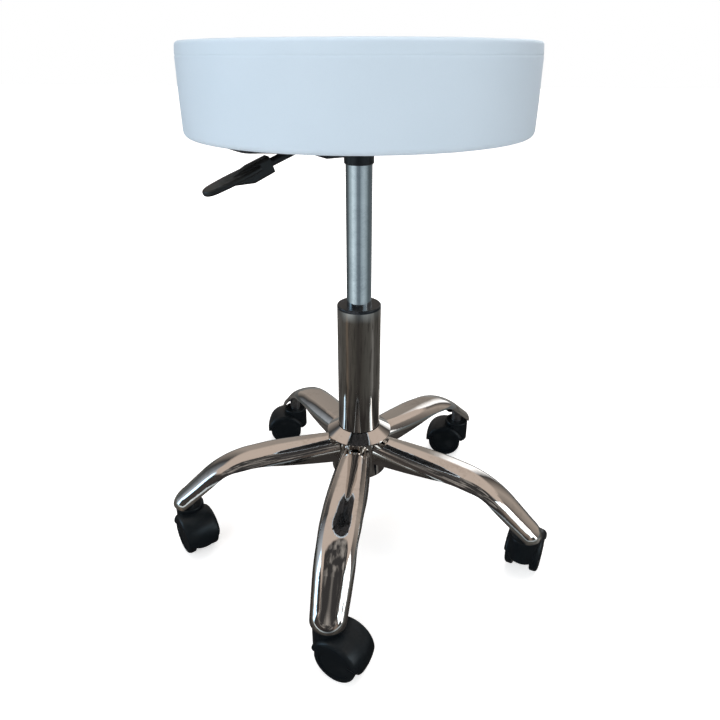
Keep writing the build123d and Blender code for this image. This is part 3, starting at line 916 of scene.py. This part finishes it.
@dataclass
class StarBase:
    """Five-legged pressed base with its hub, column and bush."""

    legs: int = 5
    chrome: MirrorChrome = MirrorChrome("leg_chrome")
    column: MirrorChrome = MirrorChrome(
        "column_chrome", (0.62, 0.60, 0.58), (0.55, 0.53, 0.51), roughness=0.04, ripple=0.0001
    )

    def dress(self, zinc: bpy.types.Material, bush: bpy.types.Material) -> None:
        """Gives the base's nodes their finishes.

        Args:
            zinc: Finish of the sleeves, rings and race.
            bush: Finish of the column's bush.
        """
        dress(self.chrome.build(), "hub_tube", "hub_collar", *(f"leg_{n + 1}" for n in range(self.legs)))
        dress(self.column.build(), "column_tube")
        dress(zinc, "caster_sleeves", "grip_rings", "bearing_lower_race")
        dress(bush, "column_bush")
        log.info("star base: %d legs dressed", self.legs)


@dataclass
class GasSpring:
    """Gas spring: the ground cylinder and what is inside it."""

    cylinder: TurnedMetal = TurnedMetal(
        "ground_cylinder", (0.76, 0.84, 0.89), (0.62, 0.69, 0.74), 0.06, 0.15, depth=0.000003
    )
    rod: TurnedMetal = TurnedMetal("ground_rod", (0.78, 0.80, 0.82), (0.66, 0.68, 0.70), 0.10, 0.2)
    brass: TurnedMetal = TurnedMetal(
        "turned_brass", (0.72, 0.55, 0.26), (0.52, 0.38, 0.17), 0.24, 0.4, pitch=1500.0
    )
    alloy: TurnedMetal = TurnedMetal(
        "turned_alloy", (0.74, 0.75, 0.76), (0.60, 0.61, 0.62), 0.28, 0.42, pitch=1500.0
    )
    rubber: MouldedPlastic = MouldedPlastic(
        "buffer_rubber",
        (0.016, 0.016, 0.017),
        (0.05, 0.05, 0.05),
        roughness=0.78,
        scuff_roughness=0.9,
        dust=0.2,
    )
    valve: MouldedPlastic = MouldedPlastic(
        "valve_plastic", (0.03, 0.03, 0.033), (0.07, 0.07, 0.07), roughness=0.5
    )

    def dress(self, zinc: bpy.types.Material) -> None:
        """Gives the spring's nodes their finishes.

        Args:
            zinc: Finish of the clip, race and cage.
        """
        dress(self.cylinder.build(), "cylinder_tube")
        dress(self.rod.build(), "piston_rod", "release_pin")
        dress(self.brass.build(), "cylinder_gland")
        dress(self.alloy.build(), "piston_head")
        dress(self.rubber.build(), "rubber_buffer")
        dress(self.valve.build(), "valve_body")
        dress(zinc, "rod_clip", "bearing_upper_race", "bearing_cage")
        log.info("gas spring dressed")


@dataclass
class SeatPlate:
    """Pressed plate, lever housing and lever under the seat."""

    coat: MouldedPlastic = MouldedPlastic(
        "black_powder_coat",
        (0.014, 0.014, 0.016),
        (0.04, 0.04, 0.042),
        roughness=0.42,
        pebbles=620.0,
        depth=0.00006,
        dust=0.1,
    )
    socket: MouldedPlastic = MouldedPlastic(
        "socket_black", (0.010, 0.010, 0.012), (0.04, 0.04, 0.042), roughness=0.3, dust=0.15
    )
    handle: MouldedPlastic = MouldedPlastic(
        "lever_plastic",
        (0.010, 0.010, 0.010),
        (0.022, 0.022, 0.019),
        dust_tint=(0.070, 0.068, 0.056),
        roughness=0.36,
        pebbles=1300.0,
        depth=0.00006,
        dust=0.9,
    )

    def dress(self, zinc: bpy.types.Material) -> None:
        """Gives the plate's and lever's nodes their finishes.

        Args:
            zinc: Finish of the washers and nuts.
        """
        coat = self.coat.build()
        dress(coat, "mount_plate", "lever_housing", "lever_rod", "plate_bolts")
        dress(self.socket.build(), "socket_cone", "lever_bushes")
        dress(self.handle.build(), "lever_paddle")
        dress(zinc, "plate_washers", "t_nuts")
        dress(BirchPly("seat_board_birch").build(), "seat_board")
        log.info("seat plate and lever dressed")


@dataclass
class Casters:
    """Five hooded twin-wheel casters."""

    count: int = 5
    hood: MouldedPlastic = MouldedPlastic(
        "hood_plastic",
        (0.005, 0.007, 0.009),
        (0.010, 0.013, 0.016),
        roughness=0.30,
        pebbles=1500.0,
        dust=0.10,
        gloss=0.32,
    )
    wheel: MouldedPlastic = MouldedPlastic(
        "wheel_plastic",
        (0.005, 0.007, 0.009),
        (0.014, 0.016, 0.018),
        roughness=0.38,
        pebbles=2200.0,
        dust=0.08,
        gloss=0.35,
    )

    def dress(self, zinc: bpy.types.Material) -> None:
        """Gives the casters' nodes their finishes.

        Args:
            zinc: Finish of the stems and axles.
        """
        hood, wheel = self.hood.build(), self.wheel.build()
        for number in range(1, self.count + 1):
            dress(hood, f"caster_{number}_hood")
            dress(wheel, f"caster_{number}_wheel_left", f"caster_{number}_wheel_right")
            dress(zinc, f"caster_{number}_stem", f"caster_{number}_axle")
        log.info("casters: %d dressed", self.count)


# ------------------------------------------------------------------ stage
@dataclass
class Studio:
    """Pale floor, soft lights, a room to reflect and the camera."""

    distance: float = 0.6381
    height: float = 0.5628
    azimuth: float = 8.0
    pitch: float = 25.73
    lens: float = 30.24
    shift: Spot = (0.0013, -0.0184)
    floor_tint: Color = (0.88, 0.88, 0.88)
    floor_lift: float = 0.55
    # Painted reflection: the floor glows with the colours below for glossy rays only, as a dark mat round
    # the stool and banded carpet beyond.
    reflected_mat_reach: float = 0.70
    reflected_carpet_reach: float = 0.80
    reflected_mat_shade: Color = (0.036, 0.033, 0.031)
    reflected_mat_bands: Bands = (
        (0.00, (0.100, 0.096, 0.088)),
        (0.06, (0.110, 0.104, 0.094)),
        (0.09, (0.190, 0.150, 0.115)),
        (0.12, (0.105, 0.096, 0.086)),
        (0.20, (0.088, 0.084, 0.074)),
        (0.26, (0.052, 0.048, 0.045)),
        (0.30, (0.066, 0.062, 0.056)),
        (0.36, (0.092, 0.090, 0.082)),
        (0.44, (0.105, 0.103, 0.094)),
        (0.49, (0.240, 0.235, 0.225)),
        (0.51, (0.100, 0.098, 0.090)),
        (0.60, (0.084, 0.080, 0.074)),
        (0.70, (0.220, 0.210, 0.195)),
        (0.80, (0.110, 0.106, 0.100)),
        (0.93, (0.140, 0.135, 0.128)),
        (1.00, (0.100, 0.096, 0.088)),
    )
    reflected_carpet_bands: Bands = (
        (0.00, (0.26, 0.29, 0.30)),
        (0.057, (0.42, 0.48, 0.50)),
        (0.12, (0.78, 0.86, 0.88)),
        (0.178, (0.58, 0.65, 0.68)),
        (0.232, (0.20, 0.23, 0.25)),
        (0.285, (0.15, 0.18, 0.20)),
        (0.339, (0.38, 0.43, 0.45)),
        (0.394, (0.45, 0.50, 0.52)),
        (0.454, (0.32, 0.36, 0.37)),
        (0.522, (0.11, 0.13, 0.135)),
        (0.611, (0.11, 0.12, 0.125)),
        (0.75, (0.30, 0.30, 0.29)),
        (0.90, (0.06, 0.065, 0.065)),
        (0.983, (0.13, 0.15, 0.155)),
        (1.00, (0.26, 0.29, 0.30)),
    )
    ceiling: Color = (0.66, 0.55, 0.475)
    ceiling_edge: Spot = (0.52, 0.60)
    clothes: tuple[Color, Color] = ((0.045, 0.043, 0.043), (0.42, 0.39, 0.36))
    wall_bands: Bands = (
        (0.00, (0.55, 0.60, 0.66)),
        (0.02, (1.70, 2.40, 3.00)),
        (0.05, (1.70, 2.40, 3.00)),
        (0.065, (0.045, 0.042, 0.040)),
        (0.15, (0.060, 0.052, 0.048)),
        (0.24, (0.022, 0.021, 0.022)),
        (0.31, (0.040, 0.036, 0.034)),
        (0.36, (0.30, 0.24, 0.20)),
        (0.41, (0.050, 0.045, 0.042)),
        (0.455, (0.060, 0.055, 0.052)),
        (0.465, (3.00, 3.00, 3.00)),
        (0.485, (3.00, 3.00, 3.00)),
        (0.50, (0.10, 0.09, 0.085)),
        (0.60, (0.42, 0.36, 0.31)),
        (0.66, (0.06, 0.055, 0.052)),
        (0.70, (2.00, 2.00, 2.00)),
        (0.73, (0.30, 0.27, 0.24)),
        (0.84, (0.38, 0.33, 0.29)),
        (0.90, (0.05, 0.05, 0.05)),
        (1.00, (0.55, 0.60, 0.66)),
    )

    def build(self) -> None:
        """Builds everything around the object."""
        self._camera()
        self._floor()
        self._room()
        self._light("key_light", (-0.75, -2.4, 1.7), 1.8, 44.0, (0.97, 0.99, 1.0))
        self._light("fill_light", (2.2, -1.2, 1.3), 1.2, 8.0, (0.80, 0.93, 1.0), mirrored=True)
        self._light("top_light", (0.2, 0.3, 2.9), 2.2, 44.0, (0.98, 0.99, 1.0))
        self._light("back_light", (0.8, 2.3, 1.6), 1.4, 20.0, (0.98, 0.99, 1.0))
        scene = bpy.context.scene
        scene.view_settings.view_transform = "Standard"
        scene.view_settings.look = "None"
        log.info("studio ready")

    def _camera(self) -> None:
        """Places the camera."""
        data = bpy.data.cameras.new("camera")
        data.lens = self.lens
        data.sensor_width = 36.0
        data.shift_x, data.shift_y = self.shift
        data.dof.use_dof = False
        data.clip_start = 0.01
        camera = bpy.data.objects.new("camera", data)
        turn = math.radians(self.azimuth)
        camera.location = (self.distance * math.sin(turn), -self.distance * math.cos(turn), self.height)
        camera.rotation_euler = (math.radians(90.0 - self.pitch), 0.0, turn)
        bpy.context.scene.collection.objects.link(camera)
        bpy.context.scene.camera = camera

    @staticmethod
    def _sectors(bench: Bench, place: Socket, bands: Bands) -> Socket:
        """Colours directions round the upright axis, as windows and dark furniture do in a room.

        Args:
            bench: The bench of the tree to add to.
            place: A position or direction.
            bands: Share of a turn, starting at -X, and colour.

        Returns:
            The colour output.
        """
        split = bench.add("ShaderNodeSeparateXYZ", {"Vector": place})
        turn = bench.math("ARCTAN2", split.outputs["Y"], split.outputs["X"])
        ramp = bench.add("ShaderNodeValToRGB", {"Fac": bench.spread(turn, -math.pi, math.pi)})
        elements = ramp.color_ramp.elements
        while len(elements) < len(bands):
            elements.new(0.5)
        for element, (spot, tint) in zip(elements, bands):
            element.position = spot
            element.color = (*tint, 1.0)
        return ramp.outputs["Color"]

    def _floor(self) -> None:
        """Lays the pale floor: plain to the eye; to glossy rays it glows with a painted reflection of the
        room's light and dark sides.
        """
        form = bmesh.new()
        bmesh.ops.create_grid(form, x_segments=8, y_segments=8, size=12.0)
        material, bench, shader, place = open_material("pale_floor")
        shader.inputs["Base Color"].default_value = (*self.floor_tint, 1.0)
        shader.inputs["Roughness"].default_value = 0.9
        ray = bench.add("ShaderNodeLightPath")
        reach = bench.add("ShaderNodeVectorMath", {0: place}, operation="LENGTH").outputs["Value"]
        strength = bench.spread(reach, 0.3, 0.9, self.floor_lift, 1.0)
        lift = bench.add("ShaderNodeEmission", {"Color": (1.0, 1.0, 1.0, 1.0), "Strength": strength})
        seen = bench.add("ShaderNodeAddShader", {0: shader.outputs[0], 1: lift.outputs[0]})
        # Painted reflection: glossy rays see the floor glow with a dark mat that has lighter patches, and
        # banded carpet beyond.
        beyond = bench.spread(reach, self.reflected_mat_reach, self.reflected_carpet_reach)
        reflection_patches = bench.noise(place, 7.0, 3.0, 0.6)
        clear = bench.spread(reach, 0.20, 0.42, -0.16, 0.12)
        lighter = bench.spread(bench.math("ADD", reflection_patches, clear), 0.40, 0.62)
        mat = bench.mix(lighter, self.reflected_mat_shade, self._sectors(bench, place, self.reflected_mat_bands))
        bands = bench.mix(beyond, mat, self._sectors(bench, place, self.reflected_carpet_bands))
        side = bench.add("ShaderNodeEmission", {"Color": bands, "Strength": 1.0})
        eye = bench.blend(ray.outputs["Is Camera Ray"], shader, seen)
        both = bench.blend(ray.outputs["Is Glossy Ray"], eye, side)
        end = next(n for n in bench.tree.nodes if n.bl_idname == "ShaderNodeOutputMaterial")
        bench.feed(end.inputs["Surface"], both.outputs[0])
        hand_over("studio_floor", form, material, smooth=False)

    def _room(self) -> None:
        """Sets the world: plain white behind the object, a warm room with windows in reflections."""
        world = bpy.data.worlds.new("room")
        bpy.context.scene.world = world
        world.use_nodes = True
        world.node_tree.nodes.clear()
        bench = Bench(world.node_tree)
        way = bench.add("ShaderNodeTexCoord").outputs["Generated"]
        high = bench.add("ShaderNodeSeparateXYZ", {"Vector": way}).outputs["Z"]
        above = bench.spread(high, *self.ceiling_edge)
        cloudy = bench.noise(way, 2.2, 2.0)
        ceiling = bench.mix(cloudy, self.ceiling, tuple(c * 0.86 for c in self.ceiling))
        sides = bench.mix(above, self._sectors(bench, way, self.wall_bands), ceiling)
        turn = math.radians(self.azimuth)
        front = (0.62 * math.sin(turn), -0.62 * math.cos(turn), 0.78)
        facing = bench.add("ShaderNodeVectorMath", {0: way, 1: front}, operation="DOT_PRODUCT")
        waves = bench.spread(bench.noise(way, 3.0, 1.0), 0.0, 1.0, -0.06, 0.06)
        wavy = bench.math("ADD", facing.outputs["Value"], waves)
        person = bench.spread(wavy, 0.77, 0.81)
        folds = bench.spread(bench.noise(way, 5.5, 2.0, 0.5), 0.46, 0.72)
        clothes = bench.mix(folds, *self.clothes)
        scene_tint = bench.mix(person, sides, clothes)
        room = bench.add("ShaderNodeBackground", {"Color": scene_tint, "Strength": 0.9})
        plain = bench.add("ShaderNodeBackground", {"Color": (1.0, 1.0, 1.0, 1.0), "Strength": 1.0})
        ray = bench.add("ShaderNodeLightPath")
        both = bench.blend(ray.outputs["Is Camera Ray"], room, plain)
        bench.add("ShaderNodeOutputWorld", {"Surface": both.outputs[0]})

    def _light(
        self, name: str, place: Place, size: float, power: float, tint: Color, mirrored: bool = False
    ) -> None:
        """Hangs a square soft light that faces the seat.

        Args:
            name: Its name.
            place: Where it hangs.
            size: Side in metres.
            power: Watts.
            tint: Colour.
            mirrored: Whether it shows in reflections.
        """
        data = bpy.data.lights.new(name, "AREA")
        data.size = size
        data.energy = power
        data.color = tint
        lamp = bpy.data.objects.new(name, data)
        lamp.visible_glossy = mirrored
        lamp.location = place
        lamp.rotation_euler = (Vector((0.0, 0.0, 0.3)) - Vector(place)).to_track_quat("-Z", "Y").to_euler()
        bpy.context.scene.collection.objects.link(lamp)


def main() -> None:
    """Builds the stool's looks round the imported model, in order."""
    logging.basicConfig(level=logging.INFO, format="%(name)s: %(message)s")
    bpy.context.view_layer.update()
    Studio().build()
    zinc = ZincPlate("zinc_plate").build()
    bush = MouldedPlastic(
        "bush_plastic", (0.008, 0.009, 0.012), (0.04, 0.04, 0.045), roughness=0.3, dust=0.2
    ).build()
    StarBase().dress(zinc, bush)
    GasSpring().dress(zinc)
    SeatPlate().dress(zinc)
    Casters().dress(zinc)
    vinyl = SoftVinyl("pale_blue_vinyl", (0.595, 0.702, 0.800), (0.575, 0.684, 0.782), (0.51, 0.61, 0.71))
    SeatCushion().build(vinyl.build())
    DustCover().build(SpunCloth("dust_cover_cloth").build(), zinc)
    log.info("boxes written")


if __name__ == "__main__":
    main()
